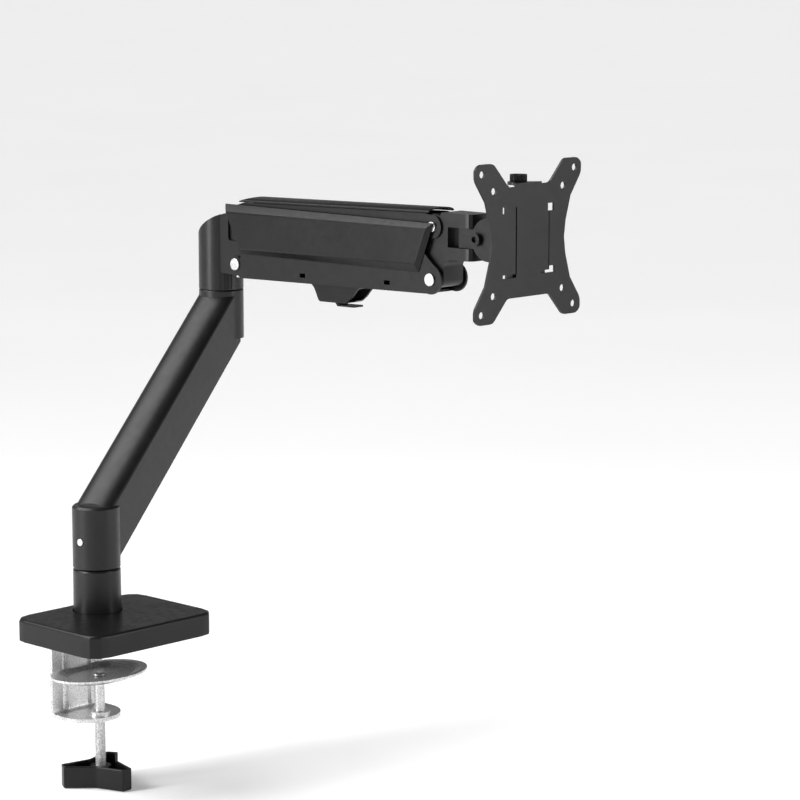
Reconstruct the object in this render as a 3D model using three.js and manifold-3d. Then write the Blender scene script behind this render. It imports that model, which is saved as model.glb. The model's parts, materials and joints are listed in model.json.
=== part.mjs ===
// A desk-clamp monitor arm with a gas-spring lift, in millimetres, +Z up.
// Origin: on the axis of the base post, on the desk surface. +X runs along the back edge of the desk,
// +Y points away from the user, and the monitor faces -Y.
import * as THREE from 'three';
import { mergeVertices } from 'three/addons/utils/BufferGeometryUtils.js';
import Module from 'manifold-3d';

const wasm = await Module();
wasm.setup();

// ---- driving dimensions ---------------------------------------------------------------------------
const GAP = 0.3;                 // air between neighbouring pieces
const BOSS_R = 17.8;             // radius of the post, both ends of the lower arm, and the elbow
const SPIGOT_R = 12;             // radius of the turned spigots inside those bosses
const BORE_R = 14.2;             // bore of the lower arm around a spigot and its bush

const BASE = { cx: -2, cy: -22, w: 120, d: 95, h: 17, r: 16, wall: 2.2, edge: 2.4 };
const PAD_H = 2;                 // soft pad between base and desk
const PLATE_T = 3;               // steel of the clamp and of the base plate
const CLAMP = { x: -3.8, wallY: 20, halfW: 24.5, endY: 8.5, drop: 65.5, screwY: -5.2, ribGap: 24.7, ribR: 2.7 };
const OVAL = { a: 40.6, b: 28.8, rim: -28.6, dish: 3.6, sheet: 1.8 };
const SCREW_R = 4;
const KNOB = { top: -99.5, h: 16.6, tip: 29.4, tipHalf: 4.4, valley: 13, wall: 1.8, hub: 8, turn: 32 };

const LOWER = { run: 200, azimuth: 19.02, bottom: 49.6, lip: 97, top: 237.1, bossUnder: 198 };
const BEAM = { half: 16, slope: 35.2, under: 52.5, edge: 95.7, crown: 7.3, shell: 3.2 };

const PIN_A = 32.6;              // elbow axis to the rear pivots
const PIN_Z = 260.2;             // height of the rear lower pivot
const LINK_SEP = 39;             // height of the upper pivots over the lower ones
const ARM_L = 210.2;             // rear pivots to front pivots
const REST_LIFT = 1.31;          // the upper arm points this many degrees up at rest
const CHEEK = { out: 14.6, t: 1.8, low: -10.6, high: 39 };
const LINK_OUT = 12.5;           // half-width of the upper link
const PIN_R = 4;
const UPPER_PIN_R = 3;
const SPRING_EYE = { a: 180, b: 10 };

const HEAD = { swivelA: 268, forkHalf: 10.6, forkFront: 279.6, top: 315, mouthTop: 304.6, mouthLow: 289.6,
  under: 280.6, mouthBack: 256.6 };
const TILT = { a: 288, z: 298, rear: 5.5, arcC: 10.4, earIn: 10, earT: 3 };
const VESA = { face: 326.2, t: 1.8, z: 299, hole: 2.75 };

// ---- small helpers --------------------------------------------------------------------------------
const rad = THREE.MathUtils.degToRad;

/** Closed solid from a three.js geometry. */
function solid(geometry) {
  const bare = geometry.clone();
  bare.deleteAttribute('normal');
  bare.deleteAttribute('uv');
  const merged = mergeVertices(bare, 1e-4);
  const index = merged.index.array;
  const triangles = [];
  for (let i = 0; i < index.length; i += 3) {
    const [a, b, c] = [index[i], index[i + 1], index[i + 2]];
    if (a !== b && b !== c && c !== a) triangles.push(a, b, c);
  }
  return new wasm.Manifold(new wasm.Mesh({
    numProp: 3,
    vertProperties: new Float32Array(merged.attributes.position.array),
    triVerts: new Uint32Array(triangles),
  }));
}

const join = (first, ...rest) => rest.reduce((sum, next) => sum.add(next), first);
const cut = (first, ...rest) => rest.reduce((left, next) => left.subtract(next), first);

const CORNER_STEPS = 3;

/** Outline from corners [x, y, radius]; a corner with a radius is rounded. */
function outline(corners) {
  const shape = new THREE.Shape();
  const n = corners.length;
  corners.forEach(([x, y, r = 0], i) => {
    const here = new THREE.Vector2(x, y);
    const before = new THREE.Vector2(...corners[(i + n - 1) % n].slice(0, 2));
    const after = new THREE.Vector2(...corners[(i + 1) % n].slice(0, 2));
    const start = here.clone().addScaledVector(before.sub(here).normalize(), r);
    const end = here.clone().addScaledVector(after.sub(here).normalize(), r);
    if (i === 0) shape.moveTo(start.x, start.y);
    else shape.lineTo(start.x, start.y);
    if (r === 0) return;
    for (let k = 1; k <= CORNER_STEPS; k += 1) {
      const t = k / CORNER_STEPS;
      const onCurve = start.clone().lerp(here, t).lerp(here.clone().lerp(end, t), t);
      shape.lineTo(onCurve.x, onCurve.y);
    }
  });
  shape.closePath();
  return shape;
}

const box2 = (x0, y0, x1, y1, r = 0) => outline([[x0, y0, r], [x1, y0, r], [x1, y1, r], [x0, y1, r]]);

function round2(r, x = 0, y = 0) {
  return new THREE.Shape().absarc(x, y, r, 0, Math.PI * 2);
}

function extrude(shape, depth, fine) {
  return new THREE.ExtrudeGeometry(shape, { depth, bevelEnabled: false, curveSegments: fine });
}

/** Outline in X-Y, from z0 up to z1. */
function upright(shape, z0, z1, fine = 12) {
  return solid(extrude(shape, z1 - z0, fine).translate(0, 0, z0));
}

/** Outline in X-Z, from y0 to y1. */
function across(shape, y0, y1, fine = 8) {
  return solid(extrude(shape, y1 - y0, fine).rotateX(Math.PI / 2).translate(0, y1, 0));
}

/** Outline in Y-Z, from x0 to x1. */
function along(shape, x0, x1, fine = 8) {
  const axes = new THREE.Matrix4().makeBasis(
    new THREE.Vector3(0, 1, 0), new THREE.Vector3(0, 0, 1), new THREE.Vector3(1, 0, 0));
  return solid(extrude(shape, x1 - x0, fine).applyMatrix4(axes).translate(x0, 0, 0));
}

/** Turned piece about Z; the profile runs up the outside from bottom to top. */
function turned(profile, segments = 32) {
  const points = profile.map(([r, z]) => new THREE.Vector2(r, z));
  return solid(new THREE.LatheGeometry(points, segments).rotateX(Math.PI / 2));
}

/** Flat plate with one bevelled face: outer corners at y0, inner corners at y1. */
function bevelled(outer, inner, y0, y1) {
  const corners = [...outer.map(([x, z]) => [x, y0, z]), ...inner.map(([x, z]) => [x, y1, z])];
  const index = [0, 2, 1, 0, 3, 2, 4, 5, 6, 4, 6, 7];
  for (let i = 0; i < 4; i += 1) {
    const j = (i + 1) % 4;
    index.push(i, j, j + 4, i, j + 4, i + 4);
  }
  if (y1 < y0) {
    for (let i = 0; i < index.length; i += 3) [index[i], index[i + 1]] = [index[i + 1], index[i]];
  }
  index.reverse();
  const geometry = new THREE.BufferGeometry();
  geometry.setAttribute('position', new THREE.Float32BufferAttribute(corners.flat(), 3));
  geometry.setIndex(index);
  return solid(geometry);
}

const FINISH = {
  blackPaint: { color: 0x2e2f31, roughness: 0.5, metalness: 0.2 },
  blackPlastic: { color: 0x232425, roughness: 0.6, metalness: 0 },
  zinc: { color: 0xb9bcbd, roughness: 0.35, metalness: 0.9 },
  steel: { color: 0x9a9c9e, roughness: 0.4, metalness: 0.9 },
  foam: { color: 0x1a1a1a, roughness: 0.95, metalness: 0 },
  nylon: { color: 0xd8d4c8, roughness: 0.6, metalness: 0 },
};

/** Named mesh of one solid. */
function piece(name, shape, finish) {
  const mesh = shape.getMesh();
  const geometry = new THREE.BufferGeometry();
  geometry.setAttribute('position', new THREE.BufferAttribute(new Float32Array(mesh.vertProperties), 3));
  geometry.setIndex(new THREE.BufferAttribute(new Uint32Array(mesh.triVerts), 1));
  geometry.computeVertexNormals();
  const made = new THREE.Mesh(geometry, new THREE.MeshStandardMaterial(FINISH[finish]));
  made.name = name;
  return made;
}

// ---- base, post and clamp -------------------------------------------------------------------------
const baseX0 = BASE.cx - BASE.w / 2;
const baseX1 = BASE.cx + BASE.w / 2;
const baseY0 = BASE.cy - BASE.d / 2;
const baseY1 = BASE.cy + BASE.d / 2;
const inBase = (inset, r) => box2(baseX0 + inset, baseY0 + inset, baseX1 - inset, baseY1 - inset, r);

function baseCover() {
  const skirt = GAP;
  const core = new THREE.ExtrudeGeometry(inBase(BASE.edge, BASE.r - BASE.edge), {
    depth: BASE.h - BASE.edge, bevelThickness: BASE.edge, bevelSize: BASE.edge, bevelSegments: 3, curveSegments: 8,
  });
  const block = cut(solid(core), upright(box2(-200, -200, 200, 200), -20, skirt));
  const hollow = upright(inBase(BASE.wall, BASE.r - BASE.wall), -1, BASE.h - BASE.wall - GAP, 8);
  return cut(block, hollow, upright(round2(BOSS_R + 0.9), -1, BASE.h + 1, 24));
}

const bracketTop = PAD_H + GAP + PLATE_T;
const basePlateTop = bracketTop + GAP + PLATE_T;
const postFootTop = basePlateTop + GAP + 3;
const FOOT_R = 22;
const BOLT_SPOTS = [[-9, -9], [9, -9], [-9, 9], [9, 9]];

function clampBracket() {
  const wallBack = CLAMP.wallY + PLATE_T;
  const flangeLow = -CLAMP.drop;
  const topFlange = outline([[-55, bracketTop - PLATE_T], [wallBack, bracketTop - PLATE_T],
    [wallBack, bracketTop], [-55, bracketTop]]);
  const wallLow = outline([[CLAMP.wallY, bracketTop - 1], [CLAMP.wallY, flangeLow + PLATE_T, 3],
    [-24, flangeLow + PLATE_T], [-24, flangeLow], [wallBack, flangeLow, 6], [wallBack, bracketTop - 1]]);
  const left = CLAMP.x - CLAMP.halfW;
  const right = CLAMP.x + CLAMP.halfW;
  const bent = join(along(topFlange, left, right), along(wallLow, left, right));
  const roundEnd = join(
    upright(round2(CLAMP.halfW, CLAMP.x, CLAMP.endY), -80, 20, 20),
    upright(box2(left - 1, CLAMP.endY, right + 1, wallBack + 1), -80, 20),
    upright(box2(left - 1, -60, right + 1, wallBack + 1), -20, 20));
  const ribs = [-1, 1].map((side) => upright(
    round2(CLAMP.ribR, CLAMP.x + side * CLAMP.ribGap / 2, CLAMP.wallY + 0.8), flangeLow + PLATE_T + 2, -1, 8));
  const nut = upright(round2(8, CLAMP.x, CLAMP.screwY), flangeLow + 1, flangeLow + PLATE_T + 3, 12);
  const screwHole = upright(round2(SCREW_R + GAP, CLAMP.x, CLAMP.screwY), flangeLow - 5, flangeLow + 12, 10);
  const boltHoles = BOLT_SPOTS.map(([x, y]) => upright(round2(2.6, x, y), 0, 20, 8));
  return cut(join(bent.intersect(roundEnd), nut, ...ribs), screwHole, ...boltHoles);
}

function basePost() {
  const profile = [[0, basePlateTop + GAP], [FOOT_R, basePlateTop + GAP], [FOOT_R, postFootTop], [BOSS_R + 0.3, postFootTop],
    [BOSS_R + 0.2, BASE.h], [BOSS_R, LOWER.bottom - 2 * GAP - 1], [BOSS_R - 0.6, LOWER.bottom - 2 * GAP],
    [SPIGOT_R, LOWER.bottom - 2 * GAP], [SPIGOT_R, LOWER.lip - 14], [SPIGOT_R - 1.5, LOWER.lip - 12],
    [0, LOWER.lip - 12]];
  const threads = BOLT_SPOTS.map(([x, y]) => upright(round2(2.6, x, y), basePlateTop, basePlateTop + 7, 8));
  return cut(turned(profile, 44), ...threads);
}

function baseBolt(x, y) {
  const shank = upright(round2(2.3, x, y), bracketTop - PLATE_T - GAP, basePlateTop + 6, 8);
  const head = upright(round2(4.4, x, y), PAD_H - 1.6, bracketTop - PLATE_T - GAP + 0.01, 10);
  return join(head, shank);
}

const root = new THREE.Group();
const basePlate = cut(
  upright(inBase(6, 10), bracketTop + GAP, basePlateTop, 6),
  ...BOLT_SPOTS.map(([x, y]) => upright(round2(2.6, x, y), 0, 20, 8)));
const deskPad = cut(
  upright(inBase(BASE.wall + 1, 12), 0, PAD_H, 6),
  upright(box2(CLAMP.x - CLAMP.halfW - 1, CLAMP.wallY - 3.6, CLAMP.x + CLAMP.halfW + 1, 60), -1, 5),
  ...BOLT_SPOTS.map(([x, y]) => upright(round2(5, x, y), -1, 5, 8)));
root.add(
  piece('base_cover', baseCover(), 'blackPlastic'),
  piece('desk_pad', deskPad, 'foam'),
  piece('base_plate', basePlate, 'blackPaint'),
  piece('clamp_bracket', clampBracket(), 'zinc'),
  piece('base_post', basePost(), 'blackPaint'),
);
BOLT_SPOTS.forEach(([x, y], i) => root.add(piece(`base_bolt_${i + 1}`, baseBolt(x, y), 'zinc')));
const bushLow = LOWER.bottom + GAP;
root.add(piece('post_bush', turned([[SPIGOT_R + GAP, bushLow], [BORE_R - GAP, bushLow],
  [BORE_R - GAP, LOWER.lip - 16], [SPIGOT_R + GAP, LOWER.lip - 16], [SPIGOT_R + GAP, bushLow]]), 'nylon'));

// pressure plate that closes on the underside of the desk
function pressurePlate() {
  const { a, b, rim, dish, sheet } = OVAL;
  const profile = [[0, rim - dish - sheet], [a * 0.7, rim - dish - sheet], [a * 0.9, rim - sheet], [a, rim - sheet],
    [a, rim], [a * 0.86, rim], [a * 0.66, rim - dish], [0, rim - dish]];
  const oval = turned(profile, 44).scale([1, b / a, 1]).translate([CLAMP.x, CLAMP.screwY, 0]);
  return cut(oval, upright(round2(SCREW_R - 1, CLAMP.x, CLAMP.screwY), -60, 0, 10),
    upright(box2(-80, CLAMP.wallY - 2.4, 80, 80), -60, 0));
}

function clampScrew() {
  const floor = OVAL.rim - OVAL.dish;
  const under = floor - OVAL.sheet;
  const low = KNOB.top - 11;
  return turned([[0, low], [SCREW_R, low], [SCREW_R, under - GAP], [SCREW_R - 1 - GAP, under - GAP],
    [SCREW_R - 1 - GAP, floor + GAP], [5, floor + GAP], [5, floor + 1.6], [3.6, floor + 2.6], [0, floor + 2.6]], 24)
    .translate([CLAMP.x, CLAMP.screwY, 0]);
}

function starOutline(inset) {
  const corners = [];
  for (let wing = 0; wing < 3; wing += 1) {
    const angle = rad(KNOB.turn + wing * 120);
    const ahead = new THREE.Vector2(Math.cos(angle), Math.sin(angle));
    const beside = new THREE.Vector2(-ahead.y, ahead.x);
    const tip = KNOB.tip - inset;
    const half = KNOB.tipHalf - inset;
    for (const side of [-half, half]) {
      corners.push([ahead.x * tip + beside.x * side, ahead.y * tip + beside.y * side, 1.2]);
    }
    const valley = angle + rad(60);
    corners.push([Math.cos(valley) * (KNOB.valley - inset), Math.sin(valley) * (KNOB.valley - inset), 2]);
  }
  return outline(corners);
}

function clampKnob() {
  const low = KNOB.top - KNOB.h;
  const shell = cut(upright(starOutline(0), low, KNOB.top, 3), upright(starOutline(KNOB.wall), low + 3, KNOB.top + 1, 3));
  const hub = upright(round2(KNOB.hub, 0, 0), low + 1, KNOB.top - 2, 12);
  const socket = upright(round2(SCREW_R + GAP, 0, 0), low + 5, KNOB.top + 1, 10);
  return cut(join(shell, hub), socket).translate([CLAMP.x, CLAMP.screwY, 0]);
}
root.add(
  piece('pressure_plate', pressurePlate(), 'zinc'),
  piece('clamp_screw', clampScrew(), 'zinc'),
  piece('clamp_knob', clampKnob(), 'blackPlastic'),
);

// ---- lower arm, in its own frame: X towards the elbow ---------------------------------------------
const lower = new THREE.Group();
lower.rotation.z = rad(LOWER.azimuth);
const climb = Math.tan(rad(BEAM.slope));
const beamDepth = (BEAM.edge - BEAM.under) * Math.cos(rad(BEAM.slope));
const crownH = BEAM.crown * Math.cos(rad(BEAM.slope));

/** Straight inclined bar with the outline (Y, height across the bar), starting at foot height z. */
function inclined(shape, z, length) {
  return along(shape, -40, length).rotate([0, -BEAM.slope, 0]).translate([0, 0, z]);
}

function crownedSection(inset, depth, crown) {
  const half = BEAM.half - inset;
  const shape = new THREE.Shape().moveTo(-half, 0).lineTo(half, 0).lineTo(half, depth);
  shape.absellipse(0, depth, half, crown, 0, Math.PI);
  shape.closePath();
  return shape;
}

function lowerArmCasting() {
  const bar = inclined(crownedSection(0, beamDepth, crownH), BEAM.under, 320);
  const reach = join(
    across(box2(-6, 52, LOWER.run - 8, LOWER.top - 1.2), -30, 30),
    across(box2(LOWER.run - 9, 150, LOWER.run + 2, LOWER.bossUnder + 1), -30, 30));
  const lowBoss = turned([[0, LOWER.bottom], [BOSS_R - 0.5, LOWER.bottom], [BOSS_R, LOWER.bottom + 0.8],
    [BOSS_R, LOWER.lip - 1.5], [BOSS_R - 1.5, LOWER.lip], [0, LOWER.lip]], 44);
  const topBoss = turned([[0, LOWER.bossUnder], [BOSS_R, LOWER.bossUnder], [BOSS_R, LOWER.top - 0.8],
    [BOSS_R - 0.5, LOWER.top], [0, LOWER.top]], 44).translate([LOWER.run, 0, 0]);
  const body = join(bar.intersect(reach), lowBoss, topBoss);
  const trough = inclined(box2(-BEAM.half + BEAM.shell + 1, -9, BEAM.half - BEAM.shell - 1, 28), BEAM.under, 320)
    .intersect(across(box2(26, 40, LOWER.run - 22, 300), -30, 30));
  const lowBore = upright(round2(BORE_R), LOWER.bottom - 1, LOWER.lip - 10, 16);
  const topBore = upright(round2(BORE_R, LOWER.run), LOWER.bossUnder + 4, LOWER.top + 1, 16);
  const lockHole = along(round2(3, 0, LOCK_Z), -30, -10, 8).rotate([0, 0, LOCK_TURN]);
  return cut(body, trough, lowBore, topBore, lockHole);
}

const LOCK_Z = 71;
const LOCK_TURN = -11;           // the lock screw sits this far round the boss

function underCover() {
  const strip = inclined(box2(-BEAM.half + BEAM.shell + 1 + GAP, 0.4, BEAM.half - BEAM.shell - 1 - GAP, 2.4),
    BEAM.under, 320);
  return strip.intersect(across(box2(26.5, 40, LOWER.run - 22.5, 300), -30, 30));
}

const lockScrew = along(round2(2.7, 0, LOCK_Z), -BOSS_R - 0.6, -BORE_R - GAP, 8).rotate([0, 0, LOCK_TURN]);
const elbowBush = turned([[SPIGOT_R + GAP, LOWER.bossUnder + 12], [BORE_R - GAP, LOWER.bossUnder + 12],
  [BORE_R - GAP, LOWER.top - GAP], [SPIGOT_R + GAP, LOWER.top - GAP], [SPIGOT_R + GAP, LOWER.bossUnder + 12]]);
lower.add(
  piece('lower_arm_casting', lowerArmCasting(), 'blackPaint'),
  piece('under_cover', underCover(), 'blackPlastic'),
  piece('swivel_lock_screw', lockScrew, 'zinc'),
  piece('elbow_bush', elbowBush.translate([LOWER.run, 0, 0]), 'nylon'),
);
root.add(lower);

// ---- elbow frame: X towards the monitor, Y across, origin on the elbow axis at desk height ----------
const elbow = new THREE.Group();
elbow.position.set(LOWER.run * Math.cos(rad(LOWER.azimuth)), LOWER.run * Math.sin(rad(LOWER.azimuth)), 0);
elbow.rotation.z = -Math.PI / 2;
root.add(elbow);
const UPPER_PIN_Z = PIN_Z + LINK_SEP;
const TONGUE_HALF = 12.4;        // flat cheek seat behind the rear pivots
const NECK_HALF = 10.5;          // narrower neck that the upper link straddles
const STEP_Z = 252;              // the round elbow gives way to the flat tongue above this height
const TENSION = { a: 30.8, y: -9.6, r: 1.8 };

function elbowKnuckle() {
  const low = LOWER.top + 2 * GAP;
  const dome = new THREE.Shape().moveTo(-19, STEP_Z - 1).lineTo(-19, 266);
  dome.quadraticCurveTo(-18, 277, -8, 285);
  dome.quadraticCurveTo(4, 295, 16, 299.5);
  dome.lineTo(16, STEP_Z - 1).closePath();
  const upper = upright(round2(BOSS_R), STEP_Z - 1, 310, 22)
    .intersect(across(dome, -30, 30, 8))
    .intersect(across(box2(-30, 200, 12.7, 320), -30, 30));
  const round = upright(round2(BOSS_R), low, STEP_Z, 22);
  const seat = outline([[0, STEP_Z - 0.2], [20, STEP_Z - 0.2], [45.4, 250.2, 2], [45.3, 255.6], [42.3, PIN_Z],
    [38.2, 262.4], [38.6, 270.2], [39.4, 278, 2], [22, 278, 3], [22, 299.3], [12.7, 298.1], [0, 290]]);
  const neck = outline([[10, 275], [38.5, 275], [41.6, 290.2], [41.4, 302.5, 3], [37, 306.4, 2.5], [29, 306, 3], [23, 300.3, 2],
    [14, 298.6]]);
  const grooves = [46, 56, 63, 74].map((turn) => upright(box2(-0.6, -0.7, 0.6, 0.7), low + 1, STEP_Z + 1)
    .rotate([0, 0, turn - 90]).translate([BOSS_R * Math.sin(rad(turn)), -BOSS_R * Math.cos(rad(turn)), 0]));
  const holes = [
    across(round2(PIN_R + 0.15, PIN_A, PIN_Z), -40, 40),
    across(round2(UPPER_PIN_R + 0.15, PIN_A, UPPER_PIN_Z), -40, 40, 8),
    upright(round2(TENSION.r + 0.15, TENSION.a, TENSION.y), 240, 255.2, 8),
    upright(round2(SPIGOT_R - 3.8), low - 1, low + 8, 12),
  ];
  const body = join(round, upper, across(seat, -TONGUE_HALF, TONGUE_HALF), across(neck, -NECK_HALF, NECK_HALF));
  return cut(body, ...grooves, ...holes);
}

const elbowSpindle = turned([[0, LOWER.bossUnder + 8], [SPIGOT_R - 1, LOWER.bossUnder + 8],
  [SPIGOT_R, LOWER.bossUnder + 9], [SPIGOT_R, LOWER.top + GAP], [SPIGOT_R - 4, LOWER.top + GAP],
  [SPIGOT_R - 4, LOWER.top + 8], [0, LOWER.top + 8]]);
const tensionScrew = upright(round2(TENSION.r, TENSION.a, TENSION.y), 249.4, 255, 8);

function crossPin(name, radius, headRadius, reach, a, z) {
  const shank = across(round2(radius, a, z), -reach, reach);
  const heads = [-1, 1].map((side) => across(round2(headRadius, a, z),
    Math.min(side * reach, side * (reach + 1.1)), Math.max(side * reach, side * (reach + 1.1)), 9));
  return piece(name, join(shank, ...heads), 'zinc');
}

elbow.add(
  piece('elbow_knuckle', elbowKnuckle(), 'blackPaint'),
  piece('elbow_spindle', elbowSpindle, 'steel'),
  piece('tension_screw', tensionScrew, 'zinc'),
  crossPin('rear_lower_pin', PIN_R, 4.75, CHEEK.out + GAP, PIN_A, PIN_Z),
  crossPin('rear_upper_pin', UPPER_PIN_R, 3.8, LINK_OUT + GAP, PIN_A, UPPER_PIN_Z),
);

// ---- upper arm, origin on the rear lower pivot, X along the arm --------------------------------------
const upper = new THREE.Group();
upper.position.set(PIN_A, 0, PIN_Z);
upper.rotation.y = -rad(REST_LIFT);
elbow.add(upper);

function armChannel() {
  const { out, t, low, high } = CHEEK;
  const eyeR = -low + 0.4;
  const side = outline([[0, -6.5], [5, low, 2], [ARM_L, low], [ARM_L + 7.5, -7, 2], [ARM_L + 9.6, 5.4, 2],
    [ARM_L - 1.7, 15.5, 2], [202, 22], [181, 24, 4], [176, high, 3], [22, high, 3], [15, 24, 4], [5.5, 5]]);
  const cheeks = join(across(side, -out, out), across(round2(6.5), -out, out, 12),
    across(round2(eyeR, ARM_L, 0), -out, out, 16));
  const inside = across(box2(-60, low + t, 300, 90), -out + t, out - t);
  const rearOpen = across(box2(-60, -40, 30, 90), -out + t, out - t);
  const frontOpen = across(box2(ARM_L - 3.2, -40, 300, 90), -out + t, out - t);
  const holes = [
    across(round2(PIN_R + 0.15, 0, 0), -40, 40),
    across(round2(PIN_R + 0.15, ARM_L, 0), -40, 40),
    across(round2(UPPER_PIN_R + 0.15, SPRING_EYE.a, SPRING_EYE.b), -40, 40, 8),
    ...[75.2, 165.5].map((a) => across(box2(a - 3, -6.3, a + 3, -3.1), -40, 40)),
  ];
  return cut(cheeks, inside, rearOpen, frontOpen, ...holes);
}

const COVER_OUTER = [[-10.5, 48], [5.5, 8.3], [199, 4.6], [214.8, 42.2]];
const COVER_INNER = [[-6.2, 41], [8.1, 12.9], [198, 11.5], [209.3, 37.5]];

function sideCover(name, side) {
  const slab = bevelled(COVER_OUTER, COVER_INNER, CHEEK.out + GAP, CHEEK.out + 4);
  return piece(name, side < 0 ? slab.mirror([0, 1, 0]) : slab, 'blackPlastic');
}

function cableClip() {
  const low = CHEEK.low - GAP;
  const profile = outline([[78.5, low], [82, low - 3, 2], [87, low - 13.4, 2], [116, low - 13.4, 2], [122, low - 9, 2],
    [130.7, low]]);
  const body = across(profile, -9, 9);
  const tunnel = along(box2(-7.2, low - 11.9, 7.2, low - 1.8, 1.5), 70, 140, 3);
  const mouth = across(box2(76, low - 20, 99, low - 8), -3, 3);
  const lip = across(outline([[99, low - 11.9], [103, low - 16.6], [121, low - 16.6], [121, low - 15.2],
    [104.5, low - 15.2], [103, low - 11.9]]), -5, 5);
  return join(cut(body, tunnel, mouth), lip);
}

const springLength = Math.hypot(SPRING_EYE.a, SPRING_EYE.b);
const spring = new THREE.Group();
spring.rotation.y = -Math.atan2(SPRING_EYE.b, SPRING_EYE.a);

function gasBarrel() {
  const tube = along(round2(7.5), 92, 166, 14);
  const neck = along(round2(3.5), 165, 176, 8);
  const eye = across(round2(6, springLength, 0), -5, 5, 12);
  const bore = join(along(round2(6.4), 96, 162, 12), along(round2(3.4), 91, 97, 12));
  return cut(join(tube, neck, eye), bore, across(round2(UPPER_PIN_R + 0.15, springLength, 0), -9, 9, 8));
}

// the rod's roller follows the front of the elbow's tongue
function gasRod() {
  const shaft = along(round2(3), 15, 136, 10);
  const piston = along(round2(6), 132, 137, 12);
  return join(shaft, piston, across(round2(3.2, 14, 0), -5, 5, 10));
}

upper.add(
  piece('arm_channel', armChannel(), 'blackPaint'),
  sideCover('side_cover_left', -1),
  sideCover('side_cover_right', 1),
  piece('cable_clip', cableClip(), 'blackPlastic'),
  piece('spring_pin', across(round2(UPPER_PIN_R, SPRING_EYE.a, SPRING_EYE.b), -CHEEK.out, CHEEK.out, 8), 'zinc'),
  spring,
);
spring.add(piece('gas_barrel', gasBarrel(), 'blackPaint'), piece('gas_rod', gasRod(), 'steel'));

// upper link of the parallelogram, and the cap that shows along the top of the arm
const link = new THREE.Group();
link.position.set(PIN_A, 0, UPPER_PIN_Z);
link.rotation.y = -rad(REST_LIFT);
elbow.add(link);

function topLink() {
  const top = 9.9;
  const side = outline([[0, -7.8], [40, -7.5, 6], [60, 1, 6], [160, 1, 6], [180, -7.5, 6], [ARM_L, -8.7], [ARM_L, 8.7],
    [ARM_L - 8, top], [8, top], [0, 7.8]]);
  const wall = LINK_OUT - 1.5;
  const walls = join(across(side, -LINK_OUT, LINK_OUT), across(round2(7.8), -LINK_OUT, LINK_OUT, 12),
    across(round2(8.7, ARM_L, 0), -LINK_OUT, LINK_OUT, 12));
  const inside = [box2(-60, -40, 300, top - 1.7), box2(-60, -40, 22, 40), box2(186, -40, 300, 40)]
    .map((area) => across(area, -wall, wall));
  const holes = [0, ARM_L].map((a) => across(round2(UPPER_PIN_R + 0.15, a, 0), -40, 40, 8));
  return cut(walls, ...inside, ...holes);
}

function topCap() {
  const low = 10.2;
  const arch = (half, base, crown) => {
    const section = new THREE.Shape().moveTo(-half, base).lineTo(half, base).lineTo(half, low + 0.8);
    section.absellipse(0, low + 0.8, half, crown, 0, Math.PI);
    section.closePath();
    return section;
  };
  const ends = outline([[4, low - 1], [208, low - 1], [208, low + 8], [24, low + 8], [12, low + 3.4, 3], [4, low + 0.8]]);
  const cap = along(arch(13.9, low, 2.8), 0, 208, 12).intersect(across(ends, -30, 30, 5));
  return cut(cap, along(arch(12.6, low - 2, 1.7), 190, 220, 12));
}
link.add(piece('top_link', topLink(), 'blackPaint'), piece('top_cap', topCap(), 'blackPlastic'));

// ---- head: link, swivel, tilt, turn and quick-release plate ------------------------------------------
const FRONT_A = PIN_A + ARM_L * Math.cos(rad(REST_LIFT));
const FRONT_Z = PIN_Z + ARM_L * Math.sin(rad(REST_LIFT));

function headLink() {
  const h = HEAD;
  const pinTop = FRONT_Z + LINK_SEP;
  const side = outline([[FRONT_A - 5, FRONT_Z - 4, 2], [FRONT_A - 7.5, FRONT_Z + 6, 3], [FRONT_A - 7.5, pinTop - 4, 3],
    [FRONT_A + 6.5, h.top], [h.forkFront, h.top], [h.forkFront, h.under], [FRONT_A + 14, h.under, 2],
    [FRONT_A + 9.8, FRONT_Z + 11.5, 2], [FRONT_A + 9.8, FRONT_Z - 3.5, 3], [FRONT_A + 5, FRONT_Z - 6.2, 2]]);
  const plan = outline([[FRONT_A - 20, -h.forkHalf], [h.forkFront, -h.forkHalf, 6.4], [h.forkFront, h.forkHalf, 6.4],
    [FRONT_A - 20, h.forkHalf]]);
  const block = across(side, -30, 30).intersect(upright(plan, 200, 400));
  const eye = across(round2(9.6, FRONT_A, pinTop), -h.forkHalf, h.forkHalf, 14);
  const barrel = across(round2(6.4, FRONT_A, FRONT_Z), -CHEEK.out + CHEEK.t + GAP, CHEEK.out - CHEEK.t - GAP, 12);
  // room for the end of the cap when the arm is down
  const reach = 20;
  const capSweep = cut(
    across(round2(14.4, FRONT_A, pinTop), -30, 30, 14).intersect(across(outline([[FRONT_A, pinTop],
      [FRONT_A + reach * Math.cos(rad(55)), pinTop + reach * Math.sin(rad(55))], [FRONT_A - reach, pinTop + reach],
      [FRONT_A - reach, pinTop]]), -30, 30)),
    across(round2(9.7, FRONT_A, pinTop), -31, 31, 14));
  const mouth = across(box2(h.mouthBack, h.mouthLow, h.forkFront + 9, h.mouthTop, 0.8), -30, 30, 3);
  const holes = [
    across(round2(PIN_R + 0.15, FRONT_A, FRONT_Z), -40, 40),
    across(round2(UPPER_PIN_R + 0.15, FRONT_A, pinTop), -40, 40, 8),
    upright(round2(4.15, h.swivelA, 0), 283, 313.5, 10),
  ];
  return cut(join(block, eye, barrel), capSweep, mouth, ...holes);
}

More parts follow.
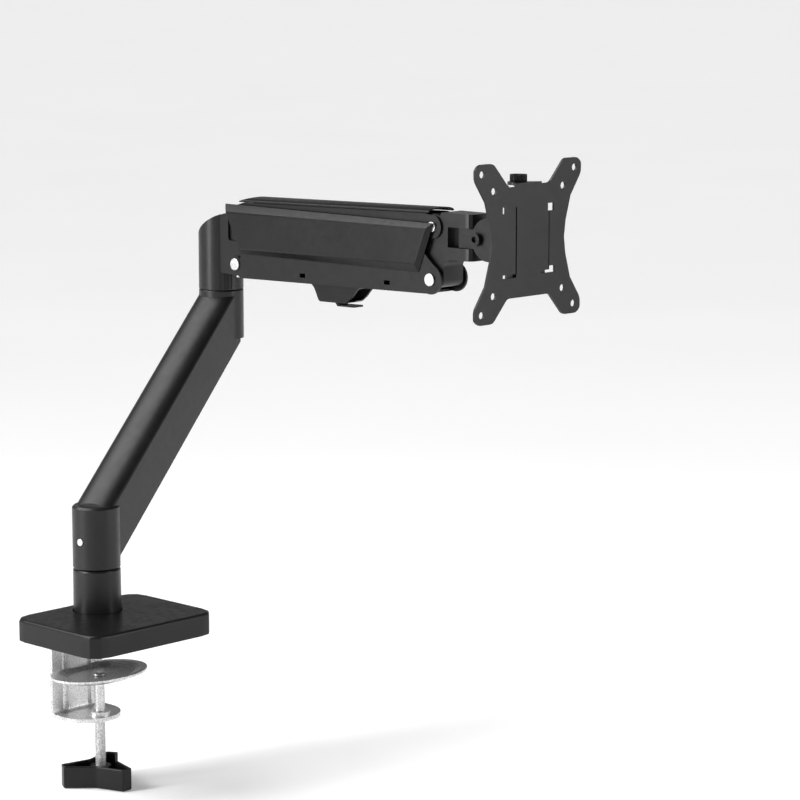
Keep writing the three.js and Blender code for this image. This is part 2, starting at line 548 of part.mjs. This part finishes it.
function tongue() {
  const half = 8;
  const plan = outline([[HEAD.swivelA - 3.4, -half, 1], [TILT.a + 6.5, -half, 1.5], [TILT.a + 6.5, half, 1.5],
    [HEAD.swivelA - 3.4, half, 1]]);
  const neck = upright(plan, HEAD.mouthLow + GAP, HEAD.mouthTop - GAP, 4);
  const eye = across(round2(7.2, TILT.a, TILT.z), -half, half, 14);
  const rear = upright(round2(7.4, HEAD.swivelA, 0), HEAD.mouthLow + GAP, HEAD.mouthTop - GAP, 12);
  return cut(join(neck, eye, rear), upright(round2(4.15, HEAD.swivelA, 0), 280, 320, 10),
    across(round2(3.15, TILT.a, TILT.z), -20, 20));
}

const webFront = 312;            // the tilt bracket's web ends here
function tiltBracket() {
  const earR = TILT.arcC + TILT.rear;
  const ear = join(across(round2(earR, TILT.a + TILT.arcC, TILT.z), -TILT.earIn - TILT.earT, TILT.earIn + TILT.earT, 20),
    across(box2(TILT.a + TILT.arcC, TILT.z - earR, webFront, TILT.z + earR), -TILT.earIn - TILT.earT,
      TILT.earIn + TILT.earT));
  const inside = across(box2(200, 200, webFront - 3, 400), -TILT.earIn, TILT.earIn);
  return cut(ear, inside, across(round2(3.15, TILT.a, TILT.z), -30, 30),
    across(box2(webFront, 200, 400, 400), -40, 40), along(round2(4.15, 0, TILT.z), 300, 320));
}

function tiltWasher(name, side) {
  const ring = cut(across(round2(8.6, TILT.a, TILT.z), 8 + GAP, TILT.earIn - GAP, 12),
    across(round2(3.4, TILT.a, TILT.z), 0, 40));
  return piece(name, side < 0 ? ring.mirror([0, 1, 0]) : ring, 'nylon');
}

const earOut = TILT.earIn + TILT.earT;
const tiltBolt = cut(
  join(across(round2(3, TILT.a, TILT.z), -earOut - GAP, earOut + 5.4), across(round2(5, TILT.a, TILT.z),
    -earOut - 3.6, -earOut - GAP, 12)),
  across(round2(2.5, TILT.a, TILT.z), -earOut - 9, -earOut - 1.2, 3));
const tiltNut = cut(across(round2(6, TILT.a, TILT.z), earOut + GAP, earOut + 5, 3),
  across(round2(3.3, TILT.a, TILT.z), 0, 40));

const backT = VESA.face - VESA.t;              // rear face of the quick-release plate
const receiverT = 2.4;
const receiverBack = backT - GAP - receiverT;
const turnZ = TILT.z;

function receiver() {
  const plate = along(box2(-20.5, turnZ - 30, 20.5, turnZ + 37, 3), receiverBack, backT - GAP, 4);
  const ledge = across(outline([[receiverBack - 12, turnZ + 34.4], [receiverBack + 0.5, turnZ + 34.4],
    [receiverBack + 0.5, turnZ + 37], [receiverBack - 12, turnZ + 37]]), -13, 13);
  return cut(join(plate, ledge), along(round2(9, 0, turnZ), 300, 340, 16),
    upright(round2(2.4, THUMB_A, 0), 300, 400, 8));
}
const THUMB_A = 316;
const TAB_TOP = 41.8;            // top of the plate's bent tab over the plate's centre

const discBack = webFront + 2.6;
const turnDisc = cut(along(round2(18, 0, turnZ), discBack, receiverBack - GAP, 20), along(round2(4.3, 0, turnZ), 300, 340));
const turnWasher = cut(along(round2(15.6, 0, turnZ), webFront + GAP, discBack - GAP, 20),
  along(round2(4.4, 0, turnZ), 300, 340));
const turnBolt = join(along(round2(4, 0, turnZ), webFront - 7.8, receiverBack + GAP),
  along(round2(8, 0, turnZ), receiverBack + GAP, backT - 0.5, 16));
const turnNut = cut(along(round2(7, 0, turnZ), webFront - 8, webFront - 3 - GAP, 3),
  along(round2(4.3, 0, turnZ), 300, 340));

function vesaOutline() {
  const quarter = [[39, 0, 0], [40.6, 12, 0], [46, 30, 0], [57.4, 46, 3], [57.4, 53.4, 1.5], [53.6, 57.2, 3],
    [38.2, 57.2, 3], [22.6, 40.4, 2]];
  const placed = (sx, sy) => quarter.map(([x, y, r]) => [x * sx, y * sy, r]);
  const backwards = (sx, sy) => placed(sx, sy).reverse().slice(0, -1);
  return outline([...placed(1, 1), ...backwards(-1, 1), ...placed(-1, -1), ...backwards(1, -1)]);
}

function vesaPlate() {
  const plate = along(vesaOutline(), backT, VESA.face, 5).translate([0, 0, VESA.z]);
  const tabPlan = outline([[VESA.face, -14], [VESA.face, 14], [THUMB_A + 2, 8], [THUMB_A + 2, -8]]);
  const tab = join(
    along(box2(-14, 39, 14, TAB_TOP), backT, VESA.face).translate([0, 0, VESA.z]),
    upright(tabPlan, VESA.z + TAB_TOP - 2.2, VESA.z + TAB_TOP),
    upright(round2(8, THUMB_A, 0), VESA.z + TAB_TOP - 2.2, VESA.z + TAB_TOP, 12));
  const holes = [];
  for (const reach of [37.5, 50]) {
    for (const sy of [-1, 1]) {
      for (const sz of [-1, 1]) {
        holes.push(along(round2(VESA.hole, sy * reach, VESA.z + sz * reach), 300, 340, 8));
      }
    }
  }
  const slots = [[-21.7, 39.4, -14, 43], [-28, 20.6, -24.8, 25.4], [-27.6, -25.8, -13.4, -23.2], [-14, -23.6, -12.8, 25],
    [21, 20, 27.6, 25.6], [13.8, -25, 29, -22.8], [22.8, -23.2, 29, -20], [21.9, -22.9, 22.7, 20.4]];
  const cuts = slots.map(([y0, z0, y1, z1]) => along(box2(y0, z0 + VESA.z, y1, z1 + VESA.z), 300, 340));
  const thumbHole = upright(round2(3, THUMB_A, 0), 300, 400, 8);
  return cut(join(plate, tab), ...holes, ...cuts, thumbHole);
}

function rail(name, side) {
  const section = outline([[22.9, backT - GAP], [28.5, backT - GAP], [28.5, receiverBack - 2.2], [18.4, receiverBack - 2.2],
    [18.4, receiverBack - GAP], [22.9, receiverBack - GAP]]);
  const made = upright(section, turnZ - 19, turnZ + 19).rotate([0, 0, 90]).mirror([1, 0, 0]);
  return piece(name, side < 0 ? made : made.mirror([0, 1, 0]), 'blackPaint');
}

const tabTop = VESA.z + TAB_TOP;
const thumbScrew = join(
  upright(round2(6.3, THUMB_A, 0), tabTop + GAP, tabTop + 5.3, 16),
  upright(round2(2, THUMB_A, 0), turnZ + 30, tabTop + GAP + 0.1, 8));

elbow.add(
  piece('head_link', headLink(), 'blackPaint'),
  crossPin('front_lower_pin', PIN_R, 4.75, CHEEK.out + GAP, FRONT_A, FRONT_Z),
  crossPin('front_upper_pin', UPPER_PIN_R, 3.8, LINK_OUT + GAP, FRONT_A, FRONT_Z + LINK_SEP),
  piece('swivel_pin', upright(round2(4, HEAD.swivelA, 0), 283.3, 313.2, 10), 'steel'),
  piece('swivel_tongue', tongue(), 'blackPaint'),
  piece('tilt_bracket', tiltBracket(), 'blackPaint'),
  tiltWasher('tilt_washer_left', -1),
  tiltWasher('tilt_washer_right', 1),
  piece('tilt_bolt', tiltBolt, 'blackPaint'),
  piece('tilt_nut', tiltNut, 'blackPaint'),
  piece('turn_washer', turnWasher, 'nylon'),
  piece('turn_disc', turnDisc, 'blackPaint'),
  piece('turn_bolt', turnBolt, 'blackPaint'),
  piece('turn_nut', turnNut, 'zinc'),
  piece('receiver_plate', receiver(), 'blackPaint'),
  piece('vesa_plate', vesaPlate(), 'blackPaint'),
  rail('slide_rail_left', -1),
  rail('slide_rail_right', 1),
  piece('thumb_screw', thumbScrew, 'blackPlastic'),
);

export default root;
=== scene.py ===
"""Desk-clamp monitor arm: finished surfaces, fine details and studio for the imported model. Metres."""
import json
from math import pi, radians

import bmesh
import bpy
from mathutils import Matrix, Vector


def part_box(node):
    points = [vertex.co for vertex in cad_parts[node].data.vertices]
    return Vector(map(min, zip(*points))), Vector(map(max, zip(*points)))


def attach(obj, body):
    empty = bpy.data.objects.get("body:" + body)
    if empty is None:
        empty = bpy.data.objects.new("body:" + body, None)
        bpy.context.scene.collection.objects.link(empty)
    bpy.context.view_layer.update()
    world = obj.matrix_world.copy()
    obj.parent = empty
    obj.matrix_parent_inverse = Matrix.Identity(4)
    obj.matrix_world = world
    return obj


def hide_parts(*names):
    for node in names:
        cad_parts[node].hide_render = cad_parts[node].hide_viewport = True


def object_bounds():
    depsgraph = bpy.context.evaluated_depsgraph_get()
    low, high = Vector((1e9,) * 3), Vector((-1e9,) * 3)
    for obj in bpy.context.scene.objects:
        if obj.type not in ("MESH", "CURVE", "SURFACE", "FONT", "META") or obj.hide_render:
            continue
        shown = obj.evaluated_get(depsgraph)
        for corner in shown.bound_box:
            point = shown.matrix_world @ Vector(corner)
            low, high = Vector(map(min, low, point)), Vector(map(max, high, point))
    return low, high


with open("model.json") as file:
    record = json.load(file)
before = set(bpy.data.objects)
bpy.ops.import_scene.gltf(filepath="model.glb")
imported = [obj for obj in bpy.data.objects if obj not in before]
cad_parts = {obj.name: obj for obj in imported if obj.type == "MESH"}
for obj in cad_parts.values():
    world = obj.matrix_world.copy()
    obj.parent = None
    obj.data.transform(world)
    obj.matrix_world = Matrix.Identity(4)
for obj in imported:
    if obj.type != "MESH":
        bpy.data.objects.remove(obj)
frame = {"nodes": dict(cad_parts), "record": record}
cad_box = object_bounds()
record = frame["record"]
MM = 0.001
TOUCH = 0.01 * MM  # two places closer than this count as one

BODY_OF = {node: body for body, nodes in record["behaviour"]["bodies"].items() for node in nodes}
SLOT_OF = {part["node"]: part["material_slot"] for part in record["subparts"]}


def new_object(name, data):
    """An object of the data, linked to the scene."""
    made = bpy.data.objects.new(name, data)
    bpy.context.scene.collection.objects.link(made)
    return made


# ---- camera -----------------------------------------------------------------------------------------
CAMERA_PLACE = (-1.3794, -1.6374, 0.5152)
CAMERA_HEADING = 46.19  # degrees from +Y towards +X
CAMERA_DIP = 9.06  # degrees below the horizon
CAMERA_LENS = 130.92  # mm, on a sensor 36 mm wide


def add_camera():
    data = bpy.data.cameras.new("camera")
    data.lens = CAMERA_LENS
    data.sensor_width = 36
    data.clip_end = 50
    camera = new_object("camera", data)
    camera.location = CAMERA_PLACE
    camera.rotation_euler = (radians(90 - CAMERA_DIP), 0, radians(-CAMERA_HEADING))
    bpy.context.scene.camera = camera


add_camera()


# ---- finishes ---------------------------------------------------------------------------------------
def add_ramp(tree, source, stops):
    """Adds a colour ramp after source. Each stop is a position and a grey or a colour."""
    node = tree.nodes.new("ShaderNodeValToRGB")
    elements = node.color_ramp.elements
    while len(elements) < len(stops):
        elements.new(0.5)
    for element, (position, value) in zip(elements, stops):
        element.position = position
        element.color = (*value, 1) if isinstance(value, tuple) else (value, value, value, 1)
    tree.links.new(source, node.inputs["Fac"])
    return node.outputs["Color"]


class Finish:
    """A surface finish, built up from a Principled shader."""

    def __init__(self, name, roughness, metallic=0.0, specular=0.5):
        self.material = bpy.data.materials.new(name)
        self.material.use_nodes = True
        self.tree = self.material.node_tree
        self.shader = self.tree.nodes["Principled BSDF"]
        self.shader.inputs["Roughness"].default_value = roughness
        self.shader.inputs["Metallic"].default_value = metallic
        self.shader.inputs["Specular IOR Level"].default_value = specular
        self.coordinates = self.tree.nodes.new("ShaderNodeTexCoord").outputs["Object"]

    def noise(self, scale, detail, roughness=0.5, stretch=(1, 1, 1)):
        """Noise fixed to the piece, with scale features to the metre."""
        mapping = self.tree.nodes.new("ShaderNodeMapping")
        mapping.inputs["Scale"].default_value = stretch
        self.tree.links.new(self.coordinates, mapping.inputs["Vector"])
        node = self.tree.nodes.new("ShaderNodeTexNoise")
        node.inputs["Scale"].default_value = scale
        node.inputs["Detail"].default_value = detail
        node.inputs["Roughness"].default_value = roughness
        self.tree.links.new(mapping.outputs["Vector"], node.inputs["Vector"])
        return node.outputs["Fac"]

    def spread(self, source, low, high, start=0.3, end=0.7):
        """Turns noise into values from low, where it is under start, to high, where it is over end."""
        return add_ramp(self.tree, source, [(start, low), (end, high)])

    def colour(self, source):
        self.tree.links.new(source, self.shader.inputs["Base Color"])

    def roughness(self, source):
        self.tree.links.new(source, self.shader.inputs["Roughness"])

    def bump(self, source, height, strength=1.0):
        """Adds a relief of the height in metres, on top of any relief already there."""
        node = self.tree.nodes.new("ShaderNodeBump")
        node.inputs["Distance"].default_value = height
        node.inputs["Strength"].default_value = strength
        self.tree.links.new(source, node.inputs["Height"])
        if self.shader.inputs["Normal"].is_linked:
            below = self.shader.inputs["Normal"].links[0].from_socket
            self.tree.links.new(below, node.inputs["Normal"])
        self.tree.links.new(node.outputs["Normal"], self.shader.inputs["Normal"])


def powder_coat(name, dark, light):
    """Satin powder coat: fine orange peel, and cloudy changes of tone and gloss."""
    finish = Finish(name, roughness=0.45, specular=0.34)
    finish.colour(finish.spread(finish.noise(scale=38, detail=4), dark, light))
    finish.roughness(finish.spread(finish.noise(scale=160, detail=3), 0.3, 0.38))
    finish.bump(finish.noise(scale=850, detail=2), height=0.06 * MM, strength=0.55)
    finish.bump(finish.noise(scale=2600, detail=2), height=0.02 * MM, strength=0.5)
    return finish.material


def grained_plastic(name, dark, light):
    """Moulded plastic with a fine spark-eroded grain."""
    finish = Finish(name, roughness=0.5, specular=0.28)
    finish.colour(finish.spread(finish.noise(scale=30, detail=3), dark, light))
    finish.roughness(finish.spread(finish.noise(scale=210, detail=3), 0.32, 0.42))
    finish.bump(finish.noise(scale=1900, detail=3, roughness=0.6), height=0.05 * MM, strength=0.6)
    return finish.material


def zinc_plate(name, dull, middling, bright):
    """Zinc-plated steel: metallic, with a small crystalline speckle and faint blotches."""
    finish = Finish(name, roughness=0.4, metallic=0.9)
    speckle = finish.noise(scale=900, detail=5, roughness=0.75)
    finish.colour(add_ramp(finish.tree, speckle, [(0.36, dull), (0.5, middling), (0.64, bright)]))
    finish.roughness(finish.spread(finish.noise(scale=320, detail=4, roughness=0.7), 0.3, 0.52))
    finish.bump(finish.noise(scale=1500, detail=4, roughness=0.7), height=0.06 * MM, strength=0.6)
    return finish.material


def turned_steel(name, dull, bright):
    """Turned steel with fine level marks, which run round an upright piece."""
    finish = Finish(name, roughness=0.3, metallic=1.0)
    finish.colour(finish.spread(finish.noise(scale=120, detail=2), dull, bright))
    finish.roughness(finish.spread(finish.noise(scale=500, detail=3), 0.25, 0.4))
    finish.bump(finish.noise(scale=600, detail=2, stretch=(1, 1, 6)), height=0.03 * MM, strength=0.5)
    return finish.material


def closed_foam(name, dark, light):
    """Closed-cell foam with open pores on its cut edge."""
    finish = Finish(name, roughness=0.95, specular=0.2)
    pores = finish.noise(scale=700, detail=4, roughness=0.7)
    finish.colour(finish.spread(pores, dark, light, start=0.35, end=0.65))
    finish.bump(finish.noise(scale=1100, detail=4, roughness=0.8), height=0.25 * MM, strength=0.8)
    return finish.material


def natural_nylon(name, dark, light):
    """Natural nylon: milky, slightly mottled."""
    finish = Finish(name, roughness=0.45)
    finish.colour(finish.spread(finish.noise(scale=60, detail=3), dark, light))
    finish.bump(finish.noise(scale=900, detail=2), height=0.03 * MM, strength=0.4)
    return finish.material


FINISHES = {
    "black_paint": powder_coat("satin_black_paint", dark=0.004, light=0.007),
    "black_casting": powder_coat("satin_black_casting", dark=0.006, light=0.009),
    "black_plastic": grained_plastic("black_plastic", dark=0.003, light=0.006),
    "zinc": zinc_plate("zinc_plate", dull=0.34, middling=0.62, bright=0.9),
    "steel": turned_steel("turned_steel", dull=0.42, bright=0.56),
    "foam": closed_foam("closed_foam", dark=0.008, light=0.03),
    "nylon": natural_nylon("natural_nylon", dark=(0.62, 0.6, 0.53), light=(0.72, 0.7, 0.63)),
}


# ---- finishing of the pieces ------------------------------------------------------------------------
SMOOTH_ANGLE = radians(28)  # faces that meet at less than this are shaded as one surface
FLAT_ANGLE = radians(0.5)  # faces that meet at less than this are one flat face
WELD = 0.002 * MM

# width of the softened edges, in mm
EDGE = {
    "base_cover": 0.5, "clamp_bracket": 0.6, "base_post": 0.5, "pressure_plate": 0.7, "clamp_knob": 1.2,
    "lower_arm_casting": 1.0, "elbow_knuckle": 0.7, "arm_channel": 0.45, "side_cover_left": 0.8,
    "side_cover_right": 0.8, "cable_clip": 0.5, "top_link": 0.4, "top_cap": 0.5, "head_link": 0.8,
    "swivel_tongue": 0.6, "tilt_bracket": 0.5, "vesa_plate": 0.35, "receiver_plate": 0.3,
    "front_lower_pin": 0.35, "rear_lower_pin": 0.35, "front_upper_pin": 0.3, "rear_upper_pin": 0.3,
}
OTHER_EDGE = 0.25
WIDE_EDGE = 0.7  # an edge this wide is rounded in three steps instead of two
DETAILED = {"clamp_screw", "thumb_screw"}  # these have functions of their own


def add_piece(bm, name, body, slot, bevel=0.0, segments=2):
    """Makes a piece of the bmesh, with its finish and softened edges, that rides on its body."""
    for face in bm.faces:
        face.smooth = True
    for edge in bm.edges:
        edge.smooth = len(edge.link_faces) != 2 or edge.calc_face_angle() < SMOOTH_ANGLE
    mesh = bpy.data.meshes.new(name)
    bm.to_mesh(mesh)
    bm.free()
    mesh.materials.append(FINISHES[slot])
    piece = new_object(name, mesh)
    if bevel:
        modifier = piece.modifiers.new("soft_edges", "BEVEL")
        modifier.width = bevel
        modifier.segments = segments
        modifier.limit_method = "ANGLE"
        modifier.angle_limit = SMOOTH_ANGLE
        modifier.use_clamp_overlap = True
    shading = piece.modifiers.new("flat_faces_stay_flat", "WEIGHTED_NORMAL")
    shading.mode = "FACE_AREA"
    shading.weight = 100
    shading.keep_sharp = True
    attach(piece, body)
    return piece


def merged_copy(node):
    """The node's solid with its triangles merged into whole faces."""
    bm = bmesh.new()
    bm.from_mesh(frame["nodes"][node].data)
    bmesh.ops.remove_doubles(bm, verts=bm.verts, dist=WELD)
    bmesh.ops.dissolve_limit(bm, angle_limit=FLAT_ANGLE, verts=bm.verts, edges=bm.edges)
    return bm


def finished_node(node, edge):
    """Replaces the node by a copy of itself with softened edges."""
    segments = 3 if edge >= WIDE_EDGE else 2
    piece = add_piece(merged_copy(node), f"{node}_finished", BODY_OF[node], SLOT_OF[node],
                      edge * MM, segments)
    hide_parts(node)


for node in SLOT_OF:
    if node not in DETAILED:
        finished_node(node, EDGE.get(node, OTHER_EDGE))


def draw_in(vert, axis_x, axis_y, factor):
    """Scales the vertex's distance from an upright axis."""
    beside = Vector((vert.co.x - axis_x, vert.co.y - axis_y)) * factor
    vert.co.x, vert.co.y = axis_x + beside.x, axis_y + beside.y


# ---- clamp screw: the rolled thread -----------------------------------------------------------------
def clamp_screw():
    """The screw turned down to the thread's root, and the thread spun round it as a piece of its own."""
    low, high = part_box("clamp_screw")
    axis_x, axis_y = (low.x + high.x) / 2, (low.y + high.y) / 2
    radius, depth, pitch = 4 * MM, 0.62 * MM, 1.25 * MM
    tip, plain_top, run_out = 0.4 * MM, 12 * MM, 1 * MM
    thread_low, thread_high = low.z + tip, high.z - plain_top

    rod = merged_copy("clamp_screw")
    for vert in rod.verts:
        reach = Vector((vert.co.x - axis_x, vert.co.y - axis_y)).length
        if reach > radius - TOUCH and vert.co.z < thread_high + run_out:
            draw_in(vert, axis_x, axis_y, (radius - depth) / reach)
    piece = add_piece(rod, "clamp_screw_finished", "clamp_screw", "zinc", bevel=0.15 * MM)
    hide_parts("clamp_screw")

    root = radius - depth - 0.1 * MM  # sunk a little into the rod
    root_half, crest_half = 0.45 * pitch, 0.06 * pitch
    corners = [(root, -root_half), (radius, -crest_half), (radius, crest_half), (root, root_half)]
    steps_per_turn = 20
    turns = int((thread_high - thread_low) / pitch) - 1

    thread = bmesh.new()
    profile = [thread.verts.new((axis_x + reach, axis_y, thread_low + rise)) for reach, rise in corners]
    face = thread.faces.new(profile)
    bmesh.ops.spin(thread, geom=[face, *face.edges, *face.verts], cent=(axis_x, axis_y, 0),
                   axis=(0, 0, 1), dvec=(0, 0, pitch / steps_per_turn), angle=turns * 2 * pi,
                   steps=turns * steps_per_turn)
    bmesh.ops.recalc_face_normals(thread, faces=thread.faces)
    add_piece(thread, "clamp_screw_thread", "clamp_screw", "zinc")


clamp_screw()


# ---- thumb screw: knurled head ----------------------------------------------------------------------
def thumb_screw():
    """A knurled head with a raised rim round a sunk middle, and a plain shank."""
    low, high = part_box("thumb_screw")
    centre = (low + high) / 2
    head_low = high.z - 5 * MM
    head_radius = (high.x - low.x) / 2
    ridges, corners_per_ridge = 30, 4
    groove = 0.93  # of the head's radius
    rim, slope, sunk = 0.9 * MM, 0.4 * MM, 0.5 * MM

    head = bmesh.new()
    ring = bmesh.ops.create_circle(head, cap_ends=True, radius=head_radius,
                                   segments=ridges * corners_per_ridge,
                                   matrix=Matrix.Translation((centre.x, centre.y, head_low)))
    for index, vert in enumerate(ring["verts"]):
        if index % corners_per_ridge >= corners_per_ridge / 2:
            draw_in(vert, centre.x, centre.y, groove)
    extruded = bmesh.ops.extrude_face_region(head, geom=list(head.faces))
    top = [item for item in extruded["geom"] if isinstance(item, bmesh.types.BMVert)]
    bmesh.ops.translate(head, vec=(0, 0, high.z - head_low), verts=top)
    cap = [face for face in head.faces if face.calc_center_median().z > high.z - TOUCH]
    bmesh.ops.inset_region(head, faces=cap, thickness=rim, depth=0)
    bmesh.ops.inset_region(head, faces=cap, thickness=slope, depth=-sunk)
    bmesh.ops.recalc_face_normals(head, faces=head.faces)
    piece = add_piece(head, "thumb_screw_head", "thumb_screw", "black_plastic",
                      bevel=0.15 * MM, segments=1)

    shank_radius, overlap = 2 * MM, 0.2 * MM
    shank = bmesh.new()
    bmesh.ops.create_cone(shank, cap_ends=True, radius1=shank_radius, radius2=shank_radius, segments=24,
                          depth=head_low - low.z + overlap,
                          matrix=Matrix.Translation((centre.x, centre.y, (head_low + low.z) / 2)))
    add_piece(shank, "thumb_screw_shank", "thumb_screw", "steel", bevel=0.3 * MM)
    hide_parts("thumb_screw")


thumb_screw()


# ---- studio -----------------------------------------------------------------------------------------
# Under the part at rest. Known fault: an opened clamp reaches up to 20 mm lower, through the floor.
FLOOR_DROP = 0.5 * MM
FLOOR_SIZE = 30
SOFTBOX_TARGET = (0.1, -0.05, 0.18)


def add_floor():
    floor_z = cad_box[0][2] - FLOOR_DROP
    floor = bmesh.new()
    bmesh.ops.create_grid(floor, x_segments=1, y_segments=1, size=FLOOR_SIZE,
                          matrix=Matrix.Translation((0, 0, floor_z)))
    mesh = bpy.data.meshes.new("floor")
    floor.to_mesh(mesh)
    floor.free()
    pale = Finish("pale_floor", roughness=0.9, specular=0.1)
    pale.colour(pale.spread(pale.noise(scale=2, detail=2), 0.9, 0.92))
    pale.shader.inputs["Emission Color"].default_value = (1, 1, 1, 1)
    pale.shader.inputs["Emission Strength"].default_value = 0.12
    mesh.materials.append(pale.material)
    ground = new_object("floor", mesh)


def add_sky():
    """A bright horizon and a dimmer ceiling."""
    world = bpy.data.worlds.new("studio")
    world.use_nodes = True
    tree = world.node_tree
    split = tree.nodes.new("ShaderNodeSeparateXYZ")
    tree.links.new(tree.nodes.new("ShaderNodeTexCoord").outputs["Generated"], split.inputs["Vector"])
    sky = add_ramp(tree, split.outputs["Z"], [(0.02, 0.8), (0.3, 0.12)])
    tree.links.new(sky, tree.nodes["Background"].inputs["Color"])
    bpy.context.scene.world = world


def add_overhead():
    """A wide, soft sun."""
    light = bpy.data.lights.new("overhead", "SUN")
    light.energy = 2.6
    light.angle = radians(50)
    lamp = new_object("overhead", light)
    lamp.rotation_euler = (radians(-28), radians(-22), 0)


def add_softbox(name, place, width, height, power):
    light = bpy.data.lights.new(name, "AREA")
    light.shape = "RECTANGLE"
    light.size = width
    light.size_y = height
    light.energy = power
    lamp = new_object(name, light)
    lamp.location = place
    lamp.rotation_euler = (Vector(SOFTBOX_TARGET) - Vector(place)).to_track_quat("-Z", "Y").to_euler()


add_floor()
add_sky()
add_overhead()
add_softbox("left_softbox", place=(-1.4, 0.5, 0.7), width=0.35, height=1.3, power=26)
add_softbox("right_softbox", place=(0.9, -1.5, 0.7), width=0.3, height=1.2, power=12)
bpy.context.scene.view_settings.view_transform = "Standard"
